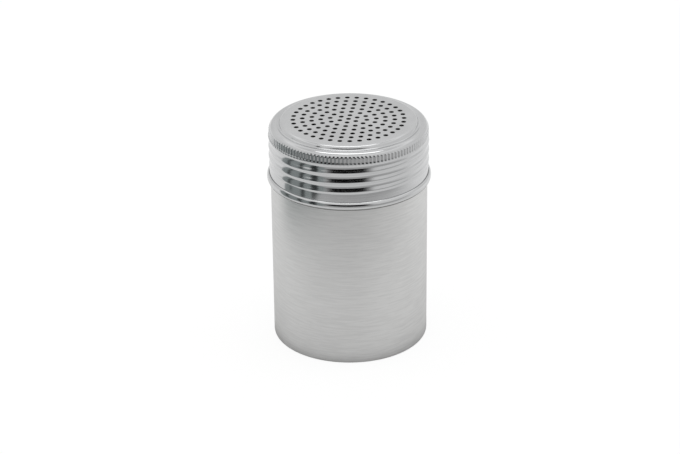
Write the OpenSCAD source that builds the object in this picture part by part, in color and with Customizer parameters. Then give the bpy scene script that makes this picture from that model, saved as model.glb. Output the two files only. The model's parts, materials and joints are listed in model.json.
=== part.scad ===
// Round stainless steel spice shaker: a drawn cup and a perforated lid that screws on to it.
// Millimetres, +Z up, with the origin at the middle of the cup's base.

/* [Sheet steel] */
// Thickness of the steel sheet
sheet = 0.4; // [0.3:0.05:0.6]

/* [Cup] */
// Outer diameter of the cup
cup_d = 66.5; // [55:0.5:90]
// Height of the cup's rim above its base
cup_h = 96.1; // [70:0.1:150]
// Outer radius of the corner round the base
base_corner = 0.9; // [0.7:0.1:4]

/* [Screw thread] */
// Rise of the thread in one turn
pitch = 4.28; // [3.4:0.02:5]
// Depth of the rolled ridges, from crest to valley
thread_depth = 0.55; // [0.45:0.05:0.8]
// Height of the threaded band
thread_h = 13.7; // [10:0.1:18]
// Height over which the ridges fade at each end of the band
runout = 1.8; // [1:0.1:3]
// Direction in which the ridge starts, counter-clockwise from +X seen from above
thread_start = 154; // [0:1:359]

/* [Lid] */
// Width of the ring between the raised plate and the lid's upper wall
ring_w = 4.3; // [4.1:0.02:8]
// Height of the raised plate above the shoulder ring
plate_rise = 1.4; // [0.9:0.1:2]
// Radius of the plate's rounded edge
plate_edge = 1.3; // [0.9:0.1:1.5]
// Radius of the hollow between the plate and the shoulder ring
groove_r = 0.9; // [0.7:0.05:1.1]
// Depth of that hollow below the shoulder ring
groove_depth = 0.3; // [0.2:0.05:0.5]
// Outer radius of the lid's rounded shoulder
shoulder_r = 1.7; // [1.6:0.05:2.2]
// Distance by which the lid's upper wall stands inside the crests of its thread
wall_inset = 0.48; // [0.3:0.02:0.5]
// Height of the plain band under the thread
plain_h = 3.2; // [1:0.1:5]

/* [Grip band] */
// Number of upright ridges round the lid
grip_count = 129; // [60:1:160]
// Height of the ridges
grip_h = 3; // [1.5:0.1:4]
// Distance by which the ridges stand out of the wall
grip_out = 0.26; // [0.1:0.02:0.4]
// Plain wall between the shoulder's curve and the ridges
grip_drop = 0.1; // [0.1:0.1:1]

/* [Shaker holes] */
// Diameter of one hole
hole_d = 1.9; // [1:0.1:2.6]
// Number of rings round the middle hole
hole_rings = 6; // [1:1:6]
// Flat border between the outer ring of holes and the plate's rounded edge
hole_border = 3.51; // [2:0.01:5]
// Direction of the first hole of every ring, counter-clockwise from +X seen from above
hole_angle = 21; // [0:1:59]

/* [Rolled edge] */
// Height of the lid's rolled edge
edge_h = 3.6; // [3:0.1:6]
// Distance by which the rolled edge stands out past the plain band
edge_out = 0.9; // [0.7:0.01:1.6]

/* [Clearances] */
// Gap between the cup and the lid, all the way round
thread_gap = 0.25; // [0.2:0.05:0.4]
// Gap between the cup's rim and the curve of the lid above it
rim_gap = 0.25; // [0.2:0.05:0.5]
// Gap between the lid's wall and its rolled edge
edge_gap = 0.12; // [0.1:0.02:0.2]

/* [Hidden] */

$fn = 120;
// Sides round the threaded bands, and rows of faces in one turn's rise
band_sides = 60;
band_rows = 7;
// How far a threaded band reaches into the plain sheet at its ends, and lies below its faces
band_lap = 0.8;
band_sink = 0.04;
// Steps in one rounded corner
arc_steps = 10;
// Overshoot of a cutting tool
past = 1;

// Radii, from the cup's wall outwards
cup_r = cup_d / 2;
neck_r = cup_r - thread_depth;
lid_r = cup_r + thread_gap + sheet;
wall_r = lid_r - wall_inset;

// Centre of the shoulder's curve: it clears the outer corner of the cup's rim
shoulder_x = wall_r - shoulder_r;
rim_reach = max(0, neck_r - shoulder_x);
shoulder_in = shoulder_r - sheet - rim_gap;
shoulder_z = cup_h - sqrt(max(0, shoulder_in * shoulder_in - rim_reach * rim_reach));

// Heights, from the shoulder down to the rolled edge
grip_z = shoulder_z - grip_drop - grip_h;
thread_top = grip_z;
thread_bottom = thread_top - thread_h;
edge_top = thread_bottom - plain_h;
edge_bottom = edge_top - edge_h;

// Centres of the three curves of the lid's top, and the slopes between them
shoulder_c = [shoulder_x, shoulder_z];
ring_top = shoulder_z + shoulder_r;
plate_top = ring_top + plate_rise;
plate_c = [wall_r - ring_w - plate_edge, plate_top - plate_edge];
groove_x = (plate_c[0] + plate_edge + shoulder_x + (groove_r - plate_edge) / 2) / 2;
groove_c = [groove_x, ring_top - groove_depth + groove_r];
slope_in = between(plate_c, plate_edge, groove_c, groove_r, 1);
slope_out = between(groove_c, groove_r, shoulder_c, shoulder_r, -1);

// Distance between two rings of holes
hole_pitch = (plate_c[0] - hole_border - hole_d / 2) / hole_rings;

// Direction, on the first of two circles, of the line that crosses between them and touches both
function between(c1, r1, c2, r2, side) =
    let (d = c2 - c1)
    atan2(d[1], d[0]) + side * acos(min(1, (r1 + r2) / norm(d)));

function arc(c, r, from, to) =
    [for (i = [0:arc_steps]) let (a = from + (to - from) * i / arc_steps) c + r * [cos(a), sin(a)]];

function oval_arc(c, rx, rz, from, to) =
    [for (i = [0:arc_steps]) let (a = from + (to - from) * i / arc_steps) c + [rx * cos(a), rz * sin(a)]];

function backwards(points) = [for (i = [len(points) - 1:-1:0]) points[i]];

// 0 up to a, 1 from b on, with a smooth rise between them
function ramp(z, a, b) =
    let (u = min(1, max(0, (z - a) / (b - a))))
    u * u * (3 - 2 * u);

// Half section of the lid's sheet, at a depth under its outer face
function lid_line(depth) = concat(
    [[0, plate_top - depth]],
    arc(plate_c, plate_edge - depth, 90, slope_in),
    arc(groove_c, groove_r + depth, slope_in + 180, slope_out + 360),
    arc(shoulder_c, shoulder_r - depth, slope_out + 180, 0),
    [[wall_r - depth, thread_top]]
);

// Half section of the cup's sheet below the thread, at a depth under its outer face
function cup_line(depth) = concat(
    [[0, depth]],
    arc([cup_r - base_corner, base_corner], base_corner - depth, -90, 0),
    [[cup_r - depth, thread_bottom]]
);

// Outer radius of a threaded band at height z and direction a.
// It runs from low_r, over ridges that stand on valley_r, to high_r.
function band_r(z, a, low_r, valley_r, high_r) =
    let (turn = 360 * (z - thread_bottom) / pitch - (a - thread_start))
    let (ridge = valley_r + thread_depth * (1 + cos(turn)) / 2)
    let (low = ramp(z, thread_bottom, thread_bottom + runout))
    let (high = 1 - ramp(z, thread_top - runout, thread_top))
    low_r * (1 - low) + high_r * (1 - high) + ridge * (low + high - 1);

// A band of sheet with the thread rolled into it, as one closed shell
module threaded_band(low_r, valley_r, high_r) {
    from = thread_bottom - band_lap;
    to = thread_top + band_lap;
    rows = ceil((to - from) / pitch * band_rows);
    inner = rows * band_sides + band_sides;
    grow = 1 / cos(180 / band_sides);
    angles = [for (i = [0:band_sides - 1]) 360 * i / band_sides];
    levels = [for (j = [0:rows]) from + (to - from) * j / rows];
    outside = [for (z = levels, a = angles)
        let (r = band_r(z, a, low_r, valley_r, high_r) - band_sink)
        [r * cos(a), r * sin(a), z]];
    inside = [for (z = levels, a = angles)
        let (r = (band_r(z, a, low_r, valley_r, high_r) - sheet + band_sink) * grow)
        [r * cos(a), r * sin(a), z]];
    function at(i, j) = j * band_sides + i % band_sides;
    faces_out = [for (j = [0:rows - 1], i = [0:band_sides - 1], half = [0, 1])
        half == 0
            ? [at(i, j), at(i, j + 1), at(i + 1, j)]
            : [at(i + 1, j), at(i, j + 1), at(i + 1, j + 1)]];
    faces_in = [for (f = faces_out) [f[0] + inner, f[2] + inner, f[1] + inner]];
    ends = [for (i = [0:band_sides - 1], half = [0, 1])
        half == 0
            ? [at(i, 0), at(i + 1, 0), at(i + 1, 0) + inner]
            : [at(i, 0), at(i + 1, 0) + inner, at(i, 0) + inner]];
    tops = [for (i = [0:band_sides - 1], half = [0, 1])
        half == 0
            ? [at(i, rows), at(i + 1, rows) + inner, at(i + 1, rows)]
            : [at(i, rows), at(i, rows) + inner, at(i + 1, rows) + inner]];
    polyhedron(points = concat(outside, inside), faces = concat(faces_out, faces_in, ends, tops));
}

// Drawn cup: flat base, straight wall, threaded neck and plain rim
module cup() {
    color("silver") {
        rotate_extrude() polygon(concat(cup_line(0), backwards(cup_line(sheet))));
        threaded_band(cup_r, neck_r, neck_r);
        rotate_extrude() polygon(concat(
            [[neck_r - sheet, thread_top], [neck_r, thread_top]],
            arc([neck_r - sheet / 2, cup_h - sheet / 2], sheet / 2, 0, 180)
        ));
    }
}

// Hollow curl round the lid's lower edge, open towards the lid's wall
module lid_rolled_edge() {
    middle = [lid_r, (edge_top + edge_bottom) / 2];
    out_x = edge_out;
    out_z = edge_h / 2;
    in_x = edge_out - sheet;
    in_z = edge_h / 2 - sheet;
    lip_x = lid_r - sheet;
    color("gainsboro")
        rotate_extrude() polygon(concat(
            [[lip_x, edge_bottom + sheet], [lip_x, edge_bottom]],
            oval_arc(middle, out_x, out_z, -90, acos(edge_gap / out_x)),
            oval_arc(middle, in_x, in_z, acos(edge_gap / in_x), -90)
        ));
}

// Upright ridges of the grip, as a ring that is set into the lid's wall
module grip_ridges() {
    crest = wall_r + grip_out;
    root = wall_r - band_sink;
    step = 360 / grip_count;
    points = [for (i = [0:grip_count - 1], half = [0, 1])
        let (r = half == 0 ? crest : root, a = step * (i + half / 2))
        r * [cos(a), sin(a)]];
    translate([0, 0, grip_z])
        linear_extrude(grip_h)
            difference() {
                polygon(points);
                circle(r = wall_r - sheet / 2);
            }
}

// Shaker holes: a middle hole and rings of six, twelve, eighteen and so on round it
module shaker_holes() {
    translate([0, 0, plate_top - sheet - past]) {
        cylinder(d = hole_d, h = sheet + 2 * past);
        for (ring = [1:hole_rings], i = [0:6 * ring - 1])
            rotate(hole_angle + 60 * i / ring)
                translate([ring * hole_pitch, 0, 0])
                    cylinder(d = hole_d, h = sheet + 2 * past);
    }
}

// Drawn lid: perforated plate, hollow, shoulder, grip, thread and plain band
module lid_shell() {
    leg_bottom = edge_bottom + sheet + edge_gap;
    color("whitesmoke") {
        difference() {
            rotate_extrude() polygon(concat(lid_line(0), backwards(lid_line(sheet))));
            shaker_holes();
        }
        grip_ridges();
        threaded_band(lid_r, lid_r - thread_depth, wall_r);
        rotate_extrude()
            translate([lid_r - sheet, leg_bottom])
                square([sheet, thread_bottom - leg_bottom]);
    }
}

cup();
lid_rolled_edge();
lid_shell();
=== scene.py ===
"""A round steel spice shaker: a satin cup with a polished, perforated screw lid.

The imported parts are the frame. The sheet steel is built again here with smooth walls, a finely
rolled thread, grip ridges and punched holes, in the same place and at the same size, and gets its
finish.
"""

import json
import math
from types import SimpleNamespace

import bmesh
import bpy
from mathutils import Matrix, Vector


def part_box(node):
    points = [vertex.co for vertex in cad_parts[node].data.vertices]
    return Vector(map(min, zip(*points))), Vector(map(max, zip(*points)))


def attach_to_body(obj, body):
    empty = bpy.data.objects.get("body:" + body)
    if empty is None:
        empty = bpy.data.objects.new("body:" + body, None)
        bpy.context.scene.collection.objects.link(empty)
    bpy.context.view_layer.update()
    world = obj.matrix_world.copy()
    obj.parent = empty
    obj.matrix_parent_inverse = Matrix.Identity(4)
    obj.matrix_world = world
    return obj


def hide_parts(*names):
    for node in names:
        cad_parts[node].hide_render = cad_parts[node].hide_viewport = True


bl_info = {
    "name": "Spice Shaker",
    "version": (1, 0, 0),
    "blender": (4, 5, 0),
    "location": "3D View > Sidebar > Shaker",
    "description": "Builds a steel spice shaker with a perforated screw lid",
    "category": "Add Mesh",
}

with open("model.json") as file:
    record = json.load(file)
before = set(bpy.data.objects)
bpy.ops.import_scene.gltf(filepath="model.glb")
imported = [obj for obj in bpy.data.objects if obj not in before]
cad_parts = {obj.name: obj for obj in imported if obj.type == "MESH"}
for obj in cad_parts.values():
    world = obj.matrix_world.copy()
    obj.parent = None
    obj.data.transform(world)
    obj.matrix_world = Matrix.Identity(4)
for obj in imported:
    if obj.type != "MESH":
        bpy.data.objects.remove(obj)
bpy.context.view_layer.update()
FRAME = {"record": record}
CUP_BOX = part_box("cup")
EDGE_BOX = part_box("lid_rolled_edge")
LID_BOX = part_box("lid_shell")

MM = 0.001
TURN = 2 * math.pi
# The lid rises by this much in one turn of its thread
PITCH = FRAME["record"]["behaviour"]["couplings"][0]["ratio"] * TURN
# Points closer than this are one point, where parts of the lid join and on a turned sheet's seam
WELD = 0.004 * MM
SEAM = WELD / 10
# Steps round the cup, the rolled edge and one shaker hole, and the lid's steps for each grip ridge
CUP_SIDES, EDGE_SIDES, HOLE_SIDES, RIDGE_SIDES = 256, 384, 20, 4
# Rows of faces up the thread on the cup, on the lid's outside and on its inside
NECK_ROWS, OUTER_ROWS, INNER_ROWS = 38, 46, 24
# Rows of faces in a hole's rounded rim
RIM_ROWS = 4
# How narrow the valleys between the grip ridges are, from 1 for an even wave
GRIP_VALLEY = 2.0
# Share of a face's direction that points inwards, up or down where the sheet is rougher and its
# colour is painted darker as shade
LEAN, UPWARD, DOWNWARD, UNDERSIDE = 0.3, 0.9, -0.7, -0.38


# ---------------------------------------------------------------- sizes


def length(name, description, default, low=0.0, high=0.2):
    """A length in metres, shown in the units of the scene."""
    return bpy.props.FloatProperty(
        name=name,
        description=description,
        default=default,
        min=low,
        max=high,
        precision=5,
        subtype="DISTANCE",
        unit="LENGTH",
    )


def whole(name, description, default, low, high):
    """A count."""
    return bpy.props.IntProperty(
        name=name, description=description, default=default, min=low, max=high
    )


def share(name, description, default, high=1.0):
    """A plain number from nought up."""
    return bpy.props.FloatProperty(
        name=name, description=description, default=default, min=0.0, max=high
    )


def turned(name, description, degrees):
    """An angle, kept in radians."""
    return bpy.props.FloatProperty(
        name=name,
        description=description,
        default=math.radians(degrees),
        min=-TURN,
        max=TURN,
        subtype="ANGLE",
        unit="ROTATION",
    )


def colour(name, description, default):
    """A colour, as linear red, green and blue."""
    return bpy.props.FloatVectorProperty(
        name=name,
        description=description,
        default=default,
        min=0.0,
        max=1.0,
        size=3,
        subtype="COLOR",
    )


class ShakerSizes(bpy.types.PropertyGroup):
    """Real sizes of the sheet steel."""

    sheet: length("Sheet", "Thickness of the steel sheet", 0.4 * MM)
    base_corner: length("Base corner", "Outer radius of the corner round the base", 0.9 * MM)
    pitch: length("Pitch", "Rise of the thread in one turn", PITCH)
    thread_depth: length("Thread depth", "From the thread's crest to its valley", 0.55 * MM)
    thread_crest: share("Crest", "Narrowness of the crest, from 1 for an even wave", 1.5, 4.0)
    thread_height: length("Thread height", "Height of the threaded band", 14.5 * MM)
    runout: length("Run-out", "Height over which the ridges fade at each end", 1.4 * MM)
    thread_start: turned("Thread start", "Direction in which the ridge starts", 154)
    plain_band: length("Plain band", "Height of the plain band under the thread", 3.2 * MM)
    plain_inset: length("Plain inset", "How far the plain band lies inside the crests", 0.2 * MM)
    wall_inset: length("Wall inset", "How far the upper wall lies inside the crests", 0.48 * MM)
    ring_width: length("Ring", "Width of the ring between the plate and the upper wall", 4.3 * MM)
    plate_rise: length("Plate rise", "Height of the plate above the shoulder ring", 1.4 * MM)
    plate_edge: length("Plate edge", "Radius of the plate's rounded edge", 1.4 * MM)
    groove: length("Groove", "Radius of the hollow round the plate", 0.65 * MM)
    groove_depth: length("Groove depth", "Depth of the hollow below the ring", 0.3 * MM)
    shoulder: length("Shoulder", "Outer radius of the lid's shoulder", 2.3 * MM)
    grip_count: whole("Grip ridges", "Number of upright ridges round the lid", 129, 20, 200)
    grip_height: length("Grip height", "Height of the ridges", 3.85 * MM)
    grip_overlap: length("Grip overlap", "How far the ridges reach into the thread", 1.35 * MM)
    grip_foot: length("Grip foot", "Height over which the ridges rise from the wall", 0.28 * MM)
    grip_head: length("Grip head", "Height over which they run out at the top", 0.55 * MM)
    grip_out: length("Grip ridge", "How far the ridges stand out of the wall", 0.26 * MM)
    grip_cut: length("Grip valley", "How far the valleys lie inside the wall", 0.2 * MM)
    hole_width: length("Hole", "Diameter of one shaker hole", 2.05 * MM)
    hole_lip: length("Hole lip", "Radius of a hole's rounded edge", 0.07 * MM)
    hole_rings: whole("Rings", "Rings of holes round the middle hole", 6, 1, 6)
    hole_border: length("Border", "Flat border outside the outer ring of holes", 3.34 * MM)
    hole_angle: turned("Hole angle", "Direction of the first hole of every ring", 21)
    edge_height: length("Edge height", "Height of the rolled edge", 3.6 * MM)
    edge_out: length("Edge", "How far the rolled edge stands past the crests", 0.9 * MM)
    edge_gap: length("Edge gap", "Gap between the rolled edge and the wall inside it", 0.12 * MM)


class ShakerFinish(bpy.types.PropertyGroup):
    """Colours and polish of the steel."""

    cup_colour: colour("Cup", "Colour of the satin cup", (0.80, 0.80, 0.793))
    lid_colour: colour("Lid", "Colour of the polished lid", (0.66, 0.665, 0.67))
    # The inside's dark colour is painted shade: it darkens the inside of the cup and the lid, the
    # holes and the rolled edge's underside, where shade falls
    inside_shade_colour: colour("Inside", "Colour of the duller inside", (0.30, 0.30, 0.295))
    cup_rough: share("Cup roughness", "How matt the satin cup is", 0.42)
    lid_rough: share("Lid roughness", "How matt the polished lid is", 0.13)
    inside_rough: share("Inside roughness", "How matt the inside of cup and lid is", 0.5)


class ShakerStudio(bpy.types.PropertyGroup):
    """The camera, and the plain studio round the shaker."""

    elevation: turned("Elevation", "Height of the camera above the horizon", 25.75)
    distance: length("Distance", "From the camera to the aim point", 954.3 * MM, 0.1, 5.0)
    aim: length("Aim height", "Height of the point that the camera looks at", 50 * MM)
    lens: share("Lens", "Focal length in millimetres on a 36 mm sensor", 117.68, 300.0)
    roll: turned("Roll", "Turn of the camera about its own axis", -0.55)
    shift: bpy.props.FloatVectorProperty(
        name="Shift",
        description="Shift of the picture across and up, as a share of its width",
        default=(-0.0140, -0.0051),
        min=-1.0,
        max=1.0,
        size=2,
        precision=4,
    )
    floor_colour: colour("Floor", "Colour of the floor", (0.86, 0.86, 0.86))
    lamp: share("Lamp", "Power of the overhead lamp in watts", 1.2, 200.0)


# ---------------------------------------------------------------- outlines


def arc(centre, radius, start, stop, steps):
    """Points along an arc, with its angles in degrees."""
    angles = [math.radians(start + (stop - start) * i / steps) for i in range(steps + 1)]
    rx, rz = radius if isinstance(radius, tuple) else (radius, radius)
    return [(centre[0] + rx * math.cos(a), centre[1] + rz * math.sin(a)) for a in angles]


def between(c1, r1, c2, r2, side):
    """Direction, on the first of two circles, of the line that crosses between and touches both."""
    dx, dz = c2[0] - c1[0], c2[1] - c1[1]
    spread = math.acos(min(1.0, (r1 + r2) / math.hypot(dx, dz)))
    return math.degrees(math.atan2(dz, dx) + side * spread)


def smooth(value, start, stop):
    """Nought up to start, one from stop on, with a smooth rise between them."""
    u = min(1.0, max(0.0, (value - start) / (stop - start)))
    return u * u * (3 - 2 * u)


def layout(s):
    """Radii and heights that follow from the sizes and the frame."""
    cup_r = CUP_BOX[1].x
    lid_r = LID_BOX[1].x
    plate_top = LID_BOX[1].z
    wall_r = lid_r - s.wall_inset
    ring_top = plate_top - s.plate_rise
    shoulder_c = (wall_r - s.shoulder, ring_top - s.shoulder)
    plate_c = (wall_r - s.ring_width - s.plate_edge, plate_top - s.plate_edge)
    groove_z = ring_top - s.groove_depth + s.groove
    inward = math.sqrt((s.plate_edge + s.groove) ** 2 - (groove_z - plate_c[1]) ** 2)
    outward = math.sqrt((s.shoulder + s.groove) ** 2 - (groove_z - shoulder_c[1]) ** 2)
    groove_c = ((plate_c[0] + inward + shoulder_c[0] - outward) / 2, groove_z)
    edge_bottom = EDGE_BOX[0].z
    edge_top = edge_bottom + s.edge_height
    thread_bottom = edge_top + s.plain_band
    thread_top = thread_bottom + s.thread_height
    return SimpleNamespace(
        cup_r=cup_r,
        cup_top=CUP_BOX[1].z,
        neck_r=cup_r - s.thread_depth,
        lid_r=lid_r,
        wall_r=wall_r,
        plain_r=lid_r - s.plain_inset,
        plate_top=plate_top,
        plate_c=plate_c,
        groove_c=groove_c,
        shoulder_c=shoulder_c,
        hole_pitch=(plate_c[0] - s.hole_border - s.hole_width / 2) / s.hole_rings,
        edge_bottom=edge_bottom,
        edge_top=edge_top,
        thread_bottom=thread_bottom,
        thread_top=thread_top,
        grip_bottom=thread_top - s.grip_overlap,
        grip_top=thread_top - s.grip_overlap + s.grip_height,
        leg_bottom=edge_bottom + s.sheet + s.edge_gap,
    )


def threaded_wall(s, at, low_r, valley_r, high_r, rows):
    """Half section of a threaded wall from foot to top, before its ridges are rolled in."""
    points = []
    for i in range(rows + 1):
        z = at.thread_bottom + (at.thread_top - at.thread_bottom) * i / rows
        low = smooth(z, at.thread_bottom, at.thread_bottom + s.runout)
        high = 1 - smooth(z, at.thread_top - s.runout, at.thread_top)
        points.append((low_r * (1 - low) + high_r * (1 - high) + valley_r * (low + high - 1), z))
    return points


def levels(r, start, stop, rows):
    """Points up or down a straight wall."""
    return [(r, start + (stop - start) * i / rows) for i in range(rows + 1)]


def cup_outline(s, at):
    """Half section of the cup's sheet: under the base, up the outside, over the rim and back."""
    corner = (at.cup_r - s.base_corner, s.base_corner)
    inner_r, inner_neck = at.cup_r - s.sheet, at.neck_r - s.sheet
    rim = (at.neck_r - s.sheet / 2, at.cup_top - s.sheet / 2)
    return (
        [(0.0, 0.0), (corner[0] * 0.5, 0.0)]
        + arc(corner, s.base_corner, -90, 0, steps=8)
        + levels(at.cup_r, s.base_corner, at.thread_bottom, rows=24)[1:-1]
        + threaded_wall(s, at, at.cup_r, at.neck_r, at.neck_r, NECK_ROWS)
        + arc(rim, s.sheet / 2, 0, 180, steps=8)
        + threaded_wall(s, at, inner_r, inner_neck, inner_neck, NECK_ROWS)[::-1]
        + levels(inner_r, at.thread_bottom, s.base_corner, rows=12)[1:-1]
        + arc(corner, s.base_corner - s.sheet, 0, -90, steps=6)
        + [(corner[0] * 0.5, s.sheet), (0.0, s.sheet)]
    )


def lid_outline(s, at):
    """Half section of the lid's sheet, from the plate down the outside and back up the inside."""
    slope_in = between(at.plate_c, s.plate_edge, at.groove_c, s.groove, 1)
    slope_out = between(at.groove_c, s.groove, at.shoulder_c, s.shoulder, -1)

    def top(depth, steps):
        return (
            arc(at.plate_c, s.plate_edge - depth, 90, slope_in, steps)
            + arc(at.groove_c, s.groove + depth, slope_in + 180, slope_out + 360, steps)
            + arc(at.shoulder_c, s.shoulder - depth, slope_out + 180, 0, 2 * steps)
        )

    inner_plain, inner_wall = at.plain_r - s.sheet, at.wall_r - s.sheet
    foot = (at.plain_r - s.sheet / 2, at.leg_bottom + s.sheet / 2)
    valley = at.lid_r - s.thread_depth
    return (
        top(0.0, steps=8)
        + levels(at.wall_r, at.shoulder_c[1], at.thread_top, rows=8)[1:]
        + threaded_wall(s, at, at.plain_r, valley, at.wall_r, OUTER_ROWS)[::-1][1:]
        + levels(at.plain_r, at.thread_bottom, foot[1], rows=5)[1:-1]
        + arc(foot, s.sheet / 2, 0, -180, steps=4)
        + threaded_wall(s, at, inner_plain, valley - s.sheet, inner_wall, INNER_ROWS)
        + top(s.sheet, steps=5)[::-1]
    )


def edge_outline(s, at):
    """Half section of the hollow curl round the lid's lower edge."""
    middle = (at.plain_r, (at.edge_bottom + at.edge_top) / 2)
    out = (s.edge_out + s.plain_inset, s.edge_height / 2)
    inside = (out[0] - s.sheet, out[1] - s.sheet)
    outer_stop = math.degrees(math.acos(s.edge_gap / out[0]))
    inner_stop = math.degrees(math.acos(s.edge_gap / inside[0]))
    lip = (at.plain_r - s.sheet + s.sheet / 4, at.edge_bottom + s.sheet / 4)
    return (
        arc(lip, s.sheet / 4, 180, 270, steps=3)
        + arc(middle, out, -90, outer_stop, steps=24)
        + arc(middle, inside, inner_stop, -90, steps=14)
        + [(at.plain_r - s.sheet, at.edge_bottom + s.sheet)]
    )


# ---------------------------------------------------------------- meshes


def turned_sheet(name, outline, sides, closed):
    """A half section as a wire, with the modifier that turns it round the shaker's axis."""
    mesh = bpy.data.meshes.new(name)
    last = len(outline) - 1
    wires = [(i, i + 1) for i in range(last)]
    if closed:
        wires.append((last, 0))
    mesh.from_pydata([(r, 0.0, z) for r, z in outline], wires, [])
    piece = bpy.data.objects.new(name, mesh)
    bpy.context.scene.collection.objects.link(piece)
    lathe = piece.modifiers.new("lathe", "SCREW")
    lathe.axis = "Z"
    lathe.angle = TURN
    lathe.steps = sides
    lathe.render_steps = sides
    lathe.use_merge_vertices = True
    lathe.merge_threshold = SEAM
    lathe.use_smooth_shade = True
    return piece


def settle(piece):
    """Turns a piece with its modifiers into a plain closed mesh whose faces point outwards."""
    graph = bpy.context.evaluated_depsgraph_get()
    wire = piece.data
    piece.data = bpy.data.meshes.new_from_object(piece.evaluated_get(graph))
    piece.modifiers.clear()
    bpy.data.meshes.remove(wire)
    piece.data.name = piece.name
    solid = bmesh.new()
    solid.from_mesh(piece.data)
    bmesh.ops.remove_doubles(solid, verts=solid.verts, dist=SEAM)
    bmesh.ops.recalc_face_normals(solid, faces=solid.faces)
    if solid.calc_volume(signed=True) < 0:
        bmesh.ops.reverse_faces(solid, faces=solid.faces)
    open_edges = sum(1 for e in solid.edges if not e.is_manifold)
    solid.to_mesh(piece.data)
    solid.free()
    if open_edges:
        raise RuntimeError(f"{piece.name} has {open_edges} open edges")
    return piece


def shade_dull_faces(piece, dull_shaded_finish, is_dull_and_shaded):
    """Gives a rougher finish, whose darker colour is painted shade, to faces picked by their place,
    direction and inward lean.
    """
    piece.data.materials.append(dull_shaded_finish)
    for face in piece.data.polygons:
        across = face.center.xy.normalized()
        if is_dull_and_shaded(face.center, face.normal, -face.normal.xy.dot(across)):
            face.material_index = len(piece.data.materials) - 1


# ---------------------------------------------------------------- node trees


def add_node(tree, kind, inputs=(), **settings):
    """A new node, with its settings and with a value or a link for each named or numbered input."""
    node = tree.nodes.new(kind)
    for name, value in settings.items():
        setattr(node, name, value)
    for key, value in dict(inputs).items():
        if isinstance(value, bpy.types.NodeSocket):
            tree.links.new(value, node.inputs[key])
        else:
            node.inputs[key].default_value = value
    return node


def calc(tree, operation, *values):
    """One step of arithmetic."""
    return add_node(tree, "ShaderNodeMath", enumerate(values), operation=operation).outputs[0]


def ramp(tree, value, start, stop, low=0.0, high=1.0):
    """A smooth rise from low at start to high at stop."""
    inputs = {"Value": value, "From Min": start, "From Max": stop, "To Min": low, "To Max": high}
    node = add_node(tree, "ShaderNodeMapRange", inputs, interpolation_type="SMOOTHSTEP")
    return node.outputs["Result"]


def new_tree(name, inputs):
    """A geometry tree with a geometry input and named inputs for its sizes."""
    tree = bpy.data.node_groups.new(name, "GeometryNodeTree")
    tree.interface.new_socket("Geometry", in_out="INPUT", socket_type="NodeSocketGeometry")
    tree.interface.new_socket("Geometry", in_out="OUTPUT", socket_type="NodeSocketGeometry")
    for title, value in inputs.items():
        kind = "NodeSocketInt" if isinstance(value, int) else "NodeSocketFloat"
        tree.interface.new_socket(title, in_out="INPUT", socket_type=kind)
    return tree, tree.nodes.new("NodeGroupInput").outputs


def end_tree(tree, geometry, material):
    """Realizes every copy and gives the piece its finish."""
    real = add_node(tree, "GeometryNodeRealizeInstances", {"Geometry": geometry})
    inputs = {"Geometry": real.outputs[0], "Material": material}
    done = add_node(tree, "GeometryNodeSetMaterial", inputs)
    tree.links.new(done.outputs[0], tree.nodes.new("NodeGroupOutput").inputs[0])


def attach(piece, tree, inputs):
    """Puts a tree on a piece and sets its named inputs."""
    modifier = piece.modifiers.new(tree.name, "NODES")
    modifier.node_group = tree
    for item in tree.interface.items_tree:
        if item.in_out == "INPUT" and item.name in inputs:
            modifier[item.identifier] = inputs[item.name]


def around(tree):
    """Fields of a point: height, direction round the axis, radius and outward vector."""
    position = add_node(tree, "GeometryNodeInputPosition").outputs[0]
    parts = add_node(tree, "ShaderNodeSeparateXYZ", {0: position}).outputs
    flat = add_node(tree, "ShaderNodeCombineXYZ", {"X": parts["X"], "Y": parts["Y"]})
    size = add_node(tree, "ShaderNodeVectorMath", {0: flat.outputs[0]}, operation="LENGTH")
    unit = add_node(tree, "ShaderNodeVectorMath", {0: flat.outputs[0]}, operation="NORMALIZE")
    return SimpleNamespace(
        height=parts["Z"],
        direction=calc(tree, "ARCTAN2", parts["Y"], parts["X"]),
        radius=size.outputs["Value"],
        outward=unit.outputs["Vector"],
    )


def push_out(tree, geometry, field, distance):
    """Moves every point outwards by a distance of its own."""
    inputs = {0: field.outward, "Scale": distance}
    offset = add_node(tree, "ShaderNodeVectorMath", inputs, operation="SCALE").outputs[0]
    inputs = {"Geometry": geometry, "Offset": offset}
    return add_node(tree, "GeometryNodeSetPosition", inputs).outputs[0]


def wave(tree, angle):
    """A wave between nought and one."""
    return calc(tree, "MULTIPLY_ADD", calc(tree, "COSINE", angle), 0.5, 0.5)


def roll_thread(tree, geometry, size):
    """Rolls a right-hand thread into a wall, fading at both of its ends."""
    here = around(tree)
    climb = calc(tree, "SUBTRACT", here.height, size["Thread bottom"])
    turns = calc(tree, "MULTIPLY", calc(tree, "DIVIDE", climb, size["Pitch"]), TURN)
    swing = calc(tree, "SUBTRACT", here.direction, size["Thread start"])
    ridge = calc(tree, "POWER", wave(tree, calc(tree, "SUBTRACT", turns, swing)), size["Crest"])
    low_end = calc(tree, "ADD", size["Thread bottom"], size["Run-out"])
    high_start = calc(tree, "SUBTRACT", size["Thread top"], size["Run-out"])
    low = ramp(tree, here.height, size["Thread bottom"], low_end)
    high = ramp(tree, here.height, high_start, size["Thread top"], 1.0, 0.0)
    there = calc(tree, "SUBTRACT", calc(tree, "ADD", low, high), 1.0)
    distance = calc(tree, "MULTIPLY", calc(tree, "MULTIPLY", ridge, there), size["Thread depth"])
    return push_out(tree, geometry, here, distance)


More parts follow.
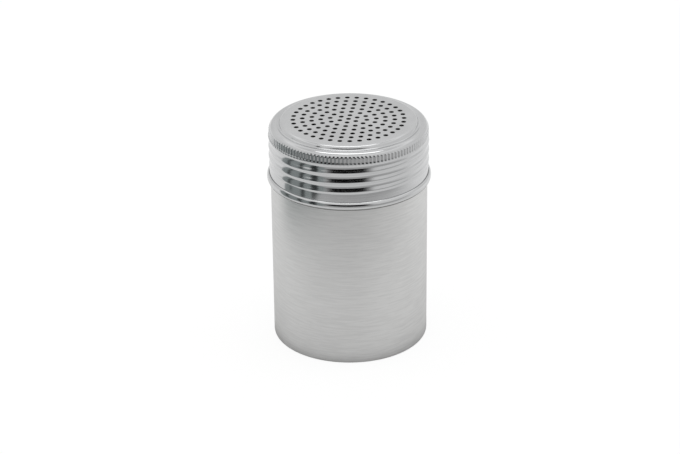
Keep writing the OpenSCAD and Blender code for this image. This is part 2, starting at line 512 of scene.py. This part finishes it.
def raise_grip(tree, geometry, size):
    """Raises the upright grip ridges on the outside of the lid's upper wall."""
    here = around(tree)
    valley = calc(tree, "MULTIPLY", here.direction, size["Grip ridges"])
    valley = calc(tree, "POWER", wave(tree, valley), GRIP_VALLEY)
    swing = calc(tree, "ADD", size["Grip ridge"], size["Grip valley"])
    profile = calc(tree, "SUBTRACT", size["Grip ridge"], calc(tree, "MULTIPLY", valley, swing))
    foot_end = calc(tree, "ADD", size["Grip bottom"], size["Grip foot"])
    head_start = calc(tree, "SUBTRACT", size["Grip top"], size["Grip head"])
    rise = ramp(tree, here.height, size["Grip bottom"], foot_end)
    drop = ramp(tree, here.height, head_start, size["Grip top"], 1.0, 0.0)
    outside = calc(tree, "GREATER_THAN", here.radius, size["Grip radius"])
    there = calc(tree, "MULTIPLY", calc(tree, "MULTIPLY", rise, drop), outside)
    return push_out(tree, geometry, here, calc(tree, "MULTIPLY", profile, there))


def hole_places(tree, size):
    """Points of a middle hole and of rings of six, twelve, eighteen and so on round it."""
    rings = size["Rings"]
    count = calc(tree, "MULTIPLY", calc(tree, "MULTIPLY", rings, calc(tree, "ADD", rings, 1)), 3)
    index = add_node(tree, "GeometryNodeInputIndex").outputs[0]
    # Ring n starts with point 1 + 3 n (n - 1). Solved for n, with a hundredth to spare for rounding
    root = calc(tree, "SQRT", calc(tree, "MULTIPLY_ADD", index, 12.0, -2.99))
    ring = calc(tree, "FLOOR", calc(tree, "DIVIDE", calc(tree, "ADD", root, 3.0), 6.0))
    pairs = calc(tree, "MULTIPLY", ring, calc(tree, "SUBTRACT", ring, 1.0))
    before = calc(tree, "MULTIPLY", pairs, 3.0)
    along = calc(tree, "SUBTRACT", calc(tree, "SUBTRACT", index, before), 1.0)
    step = calc(tree, "DIVIDE", TURN / 6, ring)
    angle = calc(tree, "MULTIPLY_ADD", along, step, size["Hole angle"])
    radius = calc(tree, "MULTIPLY", ring, size["Ring pitch"])
    place = add_node(
        tree,
        "ShaderNodeCombineXYZ",
        {
            "X": calc(tree, "MULTIPLY", radius, calc(tree, "COSINE", angle)),
            "Y": calc(tree, "MULTIPLY", radius, calc(tree, "SINE", angle)),
        },
    )
    inputs = {"Count": calc(tree, "ADD", count, 1), "Position": place.outputs[0]}
    return add_node(tree, "GeometryNodePoints", inputs).outputs[0]


def punched_edge(tree, size, rows):
    """The wall of one hole, rounded over at the top and the bottom of the sheet."""
    inputs = {
        "Vertices X": calc(tree, "ADD", size["Hole sides"], 1),
        "Vertices Y": 2 * rows,
    }
    grid = add_node(tree, "GeometryNodeMeshGrid", inputs).outputs["Mesh"]
    index = add_node(tree, "GeometryNodeInputIndex").outputs[0]
    column = calc(tree, "FLOOR", calc(tree, "DIVIDE", calc(tree, "ADD", index, 0.5), 2 * rows))
    row = calc(tree, "SUBTRACT", index, calc(tree, "MULTIPLY", column, 2 * rows))
    below = calc(tree, "GREATER_THAN", row, rows - 0.5)
    step = calc(tree, "SUBTRACT", row, below)
    curl = calc(tree, "MULTIPLY_ADD", step, math.pi / 2 / (rows - 1), math.pi / 2)
    outer = calc(tree, "MULTIPLY_ADD", size["Hole"], 0.5, size["Hole lip"])
    radius = calc(tree, "MULTIPLY_ADD", calc(tree, "COSINE", curl), size["Hole lip"], outer)
    deep = calc(tree, "SUBTRACT", size["Sheet"], calc(tree, "MULTIPLY", size["Hole lip"], 2.0))
    centre = calc(tree, "MULTIPLY_ADD", calc(tree, "MULTIPLY", below, deep), -1.0, 0.0)
    lift = calc(tree, "SUBTRACT", calc(tree, "SINE", curl), 1.0)
    height = calc(tree, "MULTIPLY_ADD", lift, size["Hole lip"], centre)
    angle = calc(tree, "DIVIDE", calc(tree, "MULTIPLY", column, TURN), size["Hole sides"])
    place = add_node(
        tree,
        "ShaderNodeCombineXYZ",
        {
            "X": calc(tree, "MULTIPLY", radius, calc(tree, "COSINE", angle)),
            "Y": calc(tree, "MULTIPLY", radius, calc(tree, "SINE", angle)),
            "Z": height,
        },
    )
    inputs = {"Geometry": grid, "Position": place.outputs[0]}
    moved = add_node(tree, "GeometryNodeSetPosition", inputs).outputs[0]
    return add_node(tree, "GeometryNodeSetShadeSmooth", {"Geometry": moved}).outputs[0]


def copies(tree, points, shape):
    """A copy of a shape on every point."""
    inputs = {"Points": points, "Instance": shape}
    spread = add_node(tree, "GeometryNodeInstanceOnPoints", inputs).outputs[0]
    return add_node(tree, "GeometryNodeRealizeInstances", {"Geometry": spread}).outputs[0]


def joined(tree, *shapes):
    """Several geometries as one."""
    node = tree.nodes.new("GeometryNodeJoinGeometry")
    for shape in shapes:
        tree.links.new(shape, node.inputs[0])
    return node.outputs[0]


def lifted(tree, geometry, height):
    """A geometry moved up."""
    offset = add_node(tree, "ShaderNodeCombineXYZ", {"Z": height}).outputs[0]
    inputs = {"Geometry": geometry, "Translation": offset}
    return add_node(tree, "GeometryNodeTransform", inputs).outputs[0]


def punch_plate(tree, geometry, size):
    """Closes the lid's top with a flat plate that is punched with the shaker holes."""
    places = hole_places(tree, size)
    outer = calc(tree, "MULTIPLY_ADD", size["Hole"], 0.5, size["Hole lip"])
    inputs = {"Resolution": size["Hole sides"], "Radius": outer}
    hole = add_node(tree, "GeometryNodeCurvePrimitiveCircle", inputs).outputs["Curve"]
    inputs = {"Resolution": size["Sides"], "Radius": size["Plate radius"]}
    rim = add_node(tree, "GeometryNodeCurvePrimitiveCircle", inputs).outputs["Curve"]
    outline = joined(tree, rim, copies(tree, places, hole))
    face = add_node(tree, "GeometryNodeFillCurve", {"Curve": outline}).outputs[0]
    inputs = {"Geometry": face, "Shade Smooth": False}
    face = add_node(tree, "GeometryNodeSetShadeSmooth", inputs).outputs[0]
    under = add_node(tree, "GeometryNodeFlipFaces", {"Mesh": face}).outputs[0]
    bottom = calc(tree, "SUBTRACT", size["Plate top"], size["Sheet"])
    walls = copies(tree, places, punched_edge(tree, size, RIM_ROWS))
    whole_lid = joined(
        tree,
        geometry,
        lifted(tree, face, size["Plate top"]),
        lifted(tree, under, bottom),
        lifted(tree, walls, size["Plate top"]),
    )
    inputs = {"Geometry": whole_lid, "Distance": WELD}
    return add_node(tree, "GeometryNodeMergeByDistance", inputs).outputs[0]


def thread_inputs(s, at):
    """Sizes of the thread, by the names that its tree gives them."""
    return {
        "Pitch": s.pitch,
        "Thread depth": s.thread_depth,
        "Crest": s.thread_crest,
        "Thread bottom": at.thread_bottom,
        "Thread top": at.thread_top,
        "Run-out": s.runout,
        "Thread start": s.thread_start,
    }


def lid_inputs(s, at, sides):
    """Sizes of everything that the lid's tree makes."""
    return {
        **thread_inputs(s, at),
        "Grip ridges": float(s.grip_count),
        "Grip bottom": at.grip_bottom,
        "Grip top": at.grip_top,
        "Grip foot": s.grip_foot,
        "Grip head": s.grip_head,
        "Grip ridge": s.grip_out,
        "Grip valley": s.grip_cut,
        "Grip radius": at.wall_r - s.sheet / 2,
        "Rings": s.hole_rings,
        "Ring pitch": at.hole_pitch,
        "Hole angle": s.hole_angle,
        "Hole": s.hole_width,
        "Hole lip": s.hole_lip,
        "Hole sides": HOLE_SIDES,
        "Sides": sides,
        "Plate radius": at.plate_c[0],
        "Plate top": at.plate_top,
        "Sheet": s.sheet,
    }


# ---------------------------------------------------------------- finishes

# How many soft clouds and small marks of wear go to a metre of the steel, along each axis
CLOUDS, MARKS = (38.0, 38.0, 30.0), (150.0, 150.0, 240.0)
# Share of the marks in the mottling, and how much the lathe's lines add to it in the tint
MARKED, LINED = 0.35, 1.1
# What the colour is multiplied by where the steel is darkest and where it is brightest
DARKER, BRIGHTER = 0.93, 1.05


def new_material(name):
    """A material and its node tree, emptied."""
    material = bpy.data.materials.new(name)
    material.use_nodes = True
    material.node_tree.nodes.clear()
    return material, material.node_tree


def stretched_noise(tree, scale, detail, roughness):
    """Noise on the object's own coordinates, with a scale along each axis."""
    here = add_node(tree, "ShaderNodeTexCoord").outputs["Object"]
    mapped = add_node(tree, "ShaderNodeMapping", {"Vector": here, "Scale": scale}).outputs[0]
    inputs = {"Vector": mapped, "Scale": 1.0, "Detail": detail, "Roughness": roughness}
    return add_node(tree, "ShaderNodeTexNoise", inputs).outputs["Fac"]


def steel(name, colour_value, rough, brush, brush_depth, brush_scale, cloud):
    """Sheet steel, made once: fine lines from the lathe, soft clouding and a faint tint."""
    found = bpy.data.materials.get(name)
    if found:
        return found
    material, tree = new_material(name)
    lines = stretched_noise(tree, brush_scale, 2.0, 0.6)
    clouds = stretched_noise(tree, CLOUDS, 4.0, 0.55)
    marks = stretched_noise(tree, MARKS, 5.0, 0.7)
    clouds = calc(tree, "MULTIPLY", clouds, 1 - MARKED)
    mixed = calc(tree, "MULTIPLY_ADD", marks, MARKED, clouds)
    low, high = rough * (1 - cloud), rough * (1 + cloud)
    polish = ramp(tree, mixed, 0.3, 0.7, low, high)
    polish = calc(tree, "MULTIPLY_ADD", calc(tree, "SUBTRACT", lines, 0.5), brush, polish)
    flecks = calc(tree, "MULTIPLY_ADD", calc(tree, "SUBTRACT", lines, 0.5), LINED, mixed)
    dark = tuple(c * DARKER for c in colour_value) + (1.0,)
    bright = tuple(min(1.0, c * BRIGHTER) for c in colour_value) + (1.0,)
    tint = add_node(
        tree,
        "ShaderNodeMix",
        {"Factor": ramp(tree, flecks, 0.2, 0.8), "A": dark, "B": bright},
        data_type="RGBA",
    )
    inputs = {"Height": lines, "Strength": 1.0, "Distance": brush_depth}
    bump = add_node(tree, "ShaderNodeBump", inputs).outputs[0]
    shader = add_node(
        tree,
        "ShaderNodeBsdfPrincipled",
        {"Metallic": 1.0, "Roughness": polish, "Normal": bump},
    )
    tree.links.new(tint.outputs["Result"], shader.inputs["Base Color"])
    output = tree.nodes.new("ShaderNodeOutputMaterial")
    tree.links.new(shader.outputs[0], output.inputs[0])
    return material


def satin_steel(finish):
    """The cup's outside: brushed round the wall."""
    return steel(
        "satin_steel",
        finish.cup_colour,
        finish.cup_rough,
        brush=0.10,
        brush_depth=0.012 * MM,
        brush_scale=(110.0, 110.0, 1500.0),
        cloud=0.12,
    )


def polished_steel(finish):
    """The lid's outside: polished, with only faint lines."""
    return steel(
        "polished_steel",
        finish.lid_colour,
        finish.lid_rough,
        brush=0.05,
        brush_depth=0.0015 * MM,
        brush_scale=(60.0, 60.0, 3000.0),
        cloud=0.25,
    )


def dull_shaded_steel(finish):
    """The inside of the cup and the lid, as it left the press: rougher, and darker in colour as
    painted shade in the hollows, the holes and under the rolled edge.
    """
    return steel(
        "dull_shaded_steel",
        finish.inside_shade_colour,
        finish.inside_rough,
        brush=0.08,
        brush_depth=0.004 * MM,
        brush_scale=(60.0, 60.0, 2400.0),
        cloud=0.15,
    )


# ---------------------------------------------------------------- operators


class SHAKER_OT_cup(bpy.types.Operator):
    """Builds the satin cup with its base, threaded neck and rim"""

    bl_idname = "shaker.cup"
    bl_label = "Cup"

    def execute(self, context):
        s, finish = context.scene.shaker_sizes, context.scene.shaker_finish
        at = layout(s)
        piece = turned_sheet("satin_cup", cup_outline(s, at), CUP_SIDES, closed=False)
        inputs = thread_inputs(s, at)
        tree, size = new_tree("cup_thread", inputs)
        end_tree(tree, roll_thread(tree, size["Geometry"], size), satin_steel(finish))
        attach(piece, tree, inputs)
        settle(piece)

        # Faces inside the cup get the rougher steel, whose darker colour is painted shade inside
        # the cup
        def in_cup(place, normal, inward):
            return inward > LEAN or (normal.z > LEAN and place.z < at.thread_bottom / 2)

        shade_dull_faces(piece, dull_shaded_steel(finish), in_cup)
        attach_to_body(piece, "cup")
        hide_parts("cup")
        return {"FINISHED"}


class SHAKER_OT_lid(bpy.types.Operator):
    """Builds the polished lid with its punched plate, shoulder, grip ridges and rolled thread"""

    bl_idname = "shaker.lid"
    bl_label = "Lid"

    def execute(self, context):
        s, finish = context.scene.shaker_sizes, context.scene.shaker_finish
        at = layout(s)
        sides = RIDGE_SIDES * s.grip_count
        piece = turned_sheet("polished_lid", lid_outline(s, at), sides, closed=False)
        inputs = lid_inputs(s, at, sides)
        tree, size = new_tree("lid_details", inputs)
        shape = roll_thread(tree, size["Geometry"], size)
        shape = raise_grip(tree, shape, size)
        shape = punch_plate(tree, shape, size)
        end_tree(tree, shape, polished_steel(finish))
        attach(piece, tree, inputs)
        settle(piece)

        # The hole walls, the plate's underside and the lid's inside get the rougher steel, whose
        # dark colour is painted shade that makes the holes look dark
        def in_lid(place, normal, inward):
            in_plate = place.xy.length < at.plate_c[0] and normal.z < UPWARD
            return in_plate or normal.z < DOWNWARD or (inward > LEAN and normal.z < LEAN)

        shade_dull_faces(piece, dull_shaded_steel(finish), in_lid)
        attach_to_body(piece, "lid")
        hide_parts("lid_shell")
        return {"FINISHED"}


class SHAKER_OT_rolled_edge(bpy.types.Operator):
    """Builds the hollow curl round the lid's lower edge"""

    bl_idname = "shaker.rolled_edge"
    bl_label = "Rolled edge"

    def execute(self, context):
        s, finish = context.scene.shaker_sizes, context.scene.shaker_finish
        piece = turned_sheet("rolled_edge", edge_outline(s, layout(s)), EDGE_SIDES, closed=True)
        settle(piece)
        piece.data.materials.append(polished_steel(finish))

        # The curl's underside gets the rougher steel, whose dark colour is painted shade under the
        # rolled edge
        def under_edge(_place, normal, _inward):
            return normal.z < UNDERSIDE

        shade_dull_faces(piece, dull_shaded_steel(finish), under_edge)
        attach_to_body(piece, "lid_edge")
        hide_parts("lid_rolled_edge")
        return {"FINISHED"}


# ---------------------------------------------------------------- studio

PLAIN_WHITE = (1.0, 1.0, 1.0, 1.0)
BLACK, SLATE, INK = (0.002, 0.002, 0.002), (0.27, 0.295, 0.295), (0.03, 0.035, 0.035)
AHEAD, ASIDE = 0.0, math.pi / 2
# What the polished lid mirrors in front and on its left. Of every card: its name, its width and
# height, its middle, its turn, its colour and the soft margin at its sides
CARDS = (
    ("black_card", (0.84, 0.32), (-0.03, -0.52, 0.17), AHEAD, BLACK, 0.24),
    ("slate_card", (0.090, 0.069), (-0.084, -0.0460, 0.0705), ASIDE, SLATE, 0.004),
    ("slate_card", (0.068, 0.099), (-0.084, -0.1180, 0.0800), ASIDE, SLATE, 0.024),
    ("ink_bar", (0.014, 0.055), (-0.083, -0.0205, 0.0775), ASIDE, INK, 0.008),
    ("ink_bar", (0.017, 0.072), (-0.083, -0.0500, 0.0720), ASIDE, INK, 0.008),
    ("ink_bar", (0.034, 0.098), (-0.083, -0.0890, 0.0830), ASIDE, INK, 0.008),
)
# How bright the room is for metal, by how far up it looks: the sine of the angle and the strength,
# first level and straight up, and then between them
ROOM_ENDS = ((0.0, 0.72), (1.0, 1.0))
ROOM = ((0.43, 0.76), (0.62, 0.82), (0.70, 0.98), (0.78, 0.80), (0.90, 0.70))
# How bright the floor is painted for metal, each from, to, its first value and its last: away from
# the shaker by the place from front to back, darker in front as painted shade, near it by the
# distance, darker close to the shaker as painted shadow, and the fade between the two
FLOOR_FAR, FLOOR_NEAR = (-0.24, 0.12, 0.42, 0.88), (0.04, 0.10, 0.62, 0.76)
FLOOR_FADE = (0.13, 0.20, 1.0, 0.0)
# Reach of the painted shadow that darkens the floor, as metal sees it, in the corner under the
# shaker
PAINTED_SHADOW_REACH = 0.01
# Strength of the floor's own white to the camera, and its share there
FLOOR_WHITE, FLOOR_SHARE = 1.08, 0.8
FLOOR_SIDE, FLOOR_DROP = 6.0, 0.02 * MM
LAMP_SIZE, LAMP_HEIGHT = (0.9, 0.3), 1.1
# Width of the camera's sensor in millimetres, and how near and how far it sees
SENSOR, NEAREST, FARTHEST = 36.0, 0.01, 20.0


def stage_plane(name, width, depth, place, turn, material):
    """A flat card or floor of the studio, turned about the axes in order."""
    mesh = bpy.data.meshes.new(name)
    x, y = width / 2, depth / 2
    mesh.from_pydata([(-x, -y, 0), (x, -y, 0), (x, y, 0), (-x, y, 0)], [], [(0, 1, 2, 3)])
    card = bpy.data.objects.new(name, mesh)
    card.location = place
    card.rotation_euler = turn
    bpy.context.scene.collection.objects.link(card)
    mesh.materials.append(material)
    return card


def upright_card(name, size, middle, turn, value, soft):
    """A card that stands upright, shows in polished metal only and fades out towards its sides."""
    material, tree = new_material(name)
    here = add_node(tree, "ShaderNodeTexCoord").outputs["Object"]
    across = calc(tree, "ABSOLUTE", add_node(tree, "ShaderNodeSeparateXYZ", {0: here}).outputs["X"])
    cover = ramp(tree, across, size[0] / 2 - soft, size[0] / 2, 1.0, 0.0)
    clear = tree.nodes.new("ShaderNodeBsdfTransparent")
    flat = add_node(tree, "ShaderNodeEmission", {"Color": (*value, 1.0), "Strength": 1.0})
    inputs = {0: cover, 1: clear.outputs[0], 2: flat.outputs[0]}
    mixed = add_node(tree, "ShaderNodeMixShader", inputs)
    output = tree.nodes.new("ShaderNodeOutputMaterial")
    tree.links.new(mixed.outputs[0], output.inputs[0])
    card = stage_plane(name, *size, middle, (math.pi / 2, 0.0, turn), material)
    card.visible_camera = False
    card.visible_diffuse = False
    card.visible_shadow = False
    card.visible_transmission = False


def floor_material(value):
    """A pale floor: white to the camera keeping its real shadow, and to metal a painted brightness,
    darker in front as painted shade and darker close to the shaker as painted shadow.
    """
    material, tree = new_material("pale_floor")
    seen = add_node(tree, "ShaderNodeLightPath").outputs
    here = add_node(tree, "ShaderNodeTexCoord").outputs["Object"]
    back = add_node(tree, "ShaderNodeSeparateXYZ", {0: here}).outputs["Y"]
    away = add_node(tree, "ShaderNodeVectorMath", {0: here}, operation="LENGTH").outputs["Value"]
    # The grade and the occlusion below paint shade and a contact shadow into the floor as metal
    # sees it
    painted_contact_shadow = add_node(tree, "ShaderNodeAmbientOcclusion", {"Distance": PAINTED_SHADOW_REACH}, samples=8)
    far = ramp(tree, back, *FLOOR_FAR)
    near = ramp(tree, away, *FLOOR_NEAR)
    inputs = {"Factor": ramp(tree, away, *FLOOR_FADE), "A": far, "B": near}
    painted_floor_shade = add_node(tree, "ShaderNodeMix", inputs, data_type="FLOAT").outputs[0]
    painted_floor_shade = calc(tree, "MULTIPLY", painted_floor_shade, painted_contact_shadow.outputs["AO"])
    matt = add_node(tree, "ShaderNodeBsdfDiffuse", {"Color": (*value, 1.0)})
    white = add_node(tree, "ShaderNodeEmission", {"Color": PLAIN_WHITE, "Strength": FLOOR_WHITE})
    painted_floor_light = add_node(tree, "ShaderNodeEmission", {"Color": PLAIN_WHITE, "Strength": painted_floor_shade})
    to_camera = calc(tree, "MULTIPLY", seen["Is Camera Ray"], FLOOR_SHARE)
    inputs = {0: to_camera, 1: matt.outputs[0], 2: white.outputs[0]}
    plain = add_node(tree, "ShaderNodeMixShader", inputs)
    inputs = {0: seen["Is Glossy Ray"], 1: plain.outputs[0], 2: painted_floor_light.outputs[0]}
    mixed = add_node(tree, "ShaderNodeMixShader", inputs)
    output = tree.nodes.new("ShaderNodeOutputMaterial")
    tree.links.new(mixed.outputs[0], output.inputs[0])
    return material


def white_world():
    """A surround that is white to the camera, and to metal a pale room that brightens overhead."""
    world = bpy.data.worlds.new("white_surround")
    bpy.context.scene.world = world
    world.use_nodes = True
    tree = world.node_tree
    tree.nodes.clear()
    seen = add_node(tree, "ShaderNodeLightPath").outputs
    shows = calc(tree, "MAXIMUM", seen["Is Camera Ray"], seen["Is Transmission Ray"])
    way = add_node(tree, "ShaderNodeTexCoord").outputs["Generated"]
    upward = add_node(tree, "ShaderNodeSeparateXYZ", {0: way}).outputs["Z"]
    room = add_node(tree, "ShaderNodeFloatCurve", {"Value": upward})
    heights = room.mapping.curves[0].points
    heights[0].location, heights[1].location = ROOM_ENDS
    for height, value in ROOM:
        heights.new(height, value)
    room.mapping.update()
    strength = calc(tree, "MAXIMUM", room.outputs["Value"], shows)
    inputs = {"Color": PLAIN_WHITE, "Strength": strength}
    background = add_node(tree, "ShaderNodeBackground", inputs)
    output = tree.nodes.new("ShaderNodeOutputWorld")
    tree.links.new(background.outputs[0], output.inputs[0])


def place_camera(studio):
    """The camera at the photograph's angle, a little off its frame's middle and a little turned."""
    data = bpy.data.cameras.new("camera")
    data.lens = studio.lens
    data.sensor_width = SENSOR
    data.shift_x, data.shift_y = studio.shift
    data.clip_start, data.clip_end = NEAREST, FARTHEST
    camera = bpy.data.objects.new("camera", data)
    bpy.context.scene.collection.objects.link(camera)
    back = Vector((0.0, -math.cos(studio.elevation), math.sin(studio.elevation)))
    turn = (-back).to_track_quat("-Z", "Y").to_matrix().to_4x4()
    place = Vector((0.0, 0.0, studio.aim)) + back * studio.distance
    camera.matrix_world = Matrix.Translation(place) @ turn @ Matrix.Rotation(studio.roll, 4, "Z")
    bpy.context.scene.camera = camera


class SHAKER_OT_stage(bpy.types.Operator):
    """Sets up the pale floor, the soft light, the studio's cards and the camera"""

    bl_idname = "shaker.stage"
    bl_label = "Stage"

    def execute(self, context):
        studio = context.scene.shaker_studio
        context.scene.view_settings.view_transform = "Standard"
        floor = floor_material(studio.floor_colour)
        below = (0.0, 0.0, -FLOOR_DROP)
        stage_plane("floor", FLOOR_SIDE, FLOOR_SIDE, below, (0.0, 0.0, 0.0), floor)
        white_world()
        lamp = bpy.data.lights.new("overhead_lamp", "AREA")
        lamp.energy = studio.lamp
        lamp.shape = "RECTANGLE"
        lamp.size, lamp.size_y = LAMP_SIZE
        above = bpy.data.objects.new("overhead_lamp", lamp)
        above.location = (0.0, 0.0, LAMP_HEIGHT)
        context.scene.collection.objects.link(above)
        for card in CARDS:
            upright_card(*card)
        place_camera(studio)
        return {"FINISHED"}


# ---------------------------------------------------------------- panel and start


class SHAKER_PT_panel(bpy.types.Panel):
    """The shaker's sizes, its finish and the buttons that build it"""

    bl_label = "Spice Shaker"
    bl_idname = "SHAKER_PT_panel"
    bl_space_type = "VIEW_3D"
    bl_region_type = "UI"
    bl_category = "Shaker"

    def draw(self, context):
        for operator in OPERATORS:
            self.layout.operator(operator.bl_idname)
        for group in GROUPS:
            values = getattr(context.scene, group)
            box = self.layout.box()
            for name in GROUPS[group].__annotations__:
                box.prop(values, name)


OPERATORS = (SHAKER_OT_cup, SHAKER_OT_lid, SHAKER_OT_rolled_edge, SHAKER_OT_stage)
GROUPS = {
    "shaker_sizes": ShakerSizes,
    "shaker_finish": ShakerFinish,
    "shaker_studio": ShakerStudio,
}


def register():
    """Registers every class and hangs the property groups on the scene."""
    for cls in (*GROUPS.values(), *OPERATORS, SHAKER_PT_panel):
        bpy.utils.register_class(cls)
    for name, group in GROUPS.items():
        setattr(bpy.types.Scene, name, bpy.props.PointerProperty(type=group))


def unregister():
    """Takes the property groups and the classes away again."""
    for name in GROUPS:
        delattr(bpy.types.Scene, name)
    for cls in (SHAKER_PT_panel, *reversed(OPERATORS), *GROUPS.values()):
        bpy.utils.unregister_class(cls)


def main():
    """Builds the shaker and its stage."""
    register()
    bpy.ops.shaker.stage()
    bpy.ops.shaker.cup()
    bpy.ops.shaker.lid()
    bpy.ops.shaker.rolled_edge()


if __name__ == "__main__":
    main()
